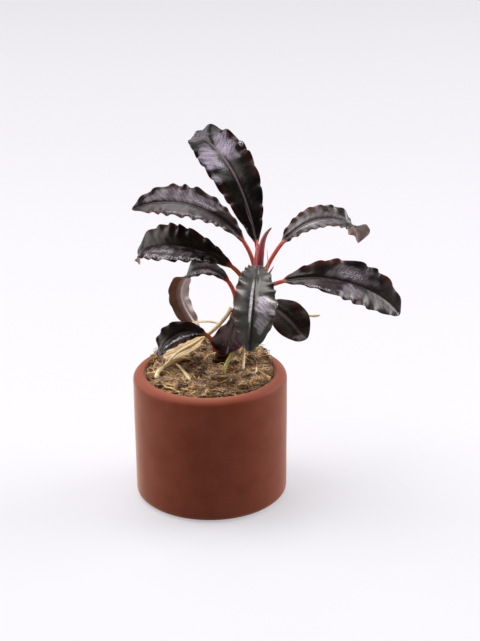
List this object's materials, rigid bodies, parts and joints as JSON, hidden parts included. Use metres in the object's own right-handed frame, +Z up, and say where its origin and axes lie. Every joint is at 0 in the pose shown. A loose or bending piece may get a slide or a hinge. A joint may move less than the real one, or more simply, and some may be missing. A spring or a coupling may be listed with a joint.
{
  "type": "potted bucephalandra",
  "caption": "Small potted water plant: long dark leaves with wavy edges arch out from a creeping stem on a wool plug in a round terracotta pot.",
  "frame": {"origin": "middle of the pot's underside, on the surface it stands on", "axes": "+Z up along the pot's axis; the picture looks along +Y, and the plant leans towards +X"},
  "size_m": [0.0876, 0.0819, 0.1142],
  "materials": {
    "terracotta": "unglazed fired red clay, matte, lightly dusty",
    "wool": "damp mineral wool with golden and brown fibres",
    "rhizome": "dark brown, ringed and slightly damp",
    "leaf": "thick, near black, glossy with a mauve and silver sheen",
    "withered": "thin, dry, pale beige, lets light through",
    "shoot": "young tissue, crimson to pink, satin",
    "root": "pale beige to yellow green, satin"
  },
  "bodies": {
    "root": {"pot": "terracotta", "wool_plug": "wool", "rhizome": "rhizome", "leaf_top": "leaf", "leaf_upper_left": "leaf", "leaf_middle_left": "leaf", "leaf_curled_left": "leaf", "leaf_lower_left": "leaf", "leaf_front": "leaf", "leaf_front_low": "leaf", "leaf_upper_right": "leaf", "leaf_middle_right": "leaf", "leaf_lower_right": "leaf", "withered_leaf": "withered", "withered_strip": "withered", "shoot_rolled_leaf": "shoot", "shoot_pink_blade": "shoot", "shoot_pale_spike": "shoot", "shoot_dark_bract": "shoot", "root_thick": "root", "root_slender": "root", "root_green": "root", "root_right": "root", "root_arc": "root", "root_hook": "root"}
  },
  "joints": []
}
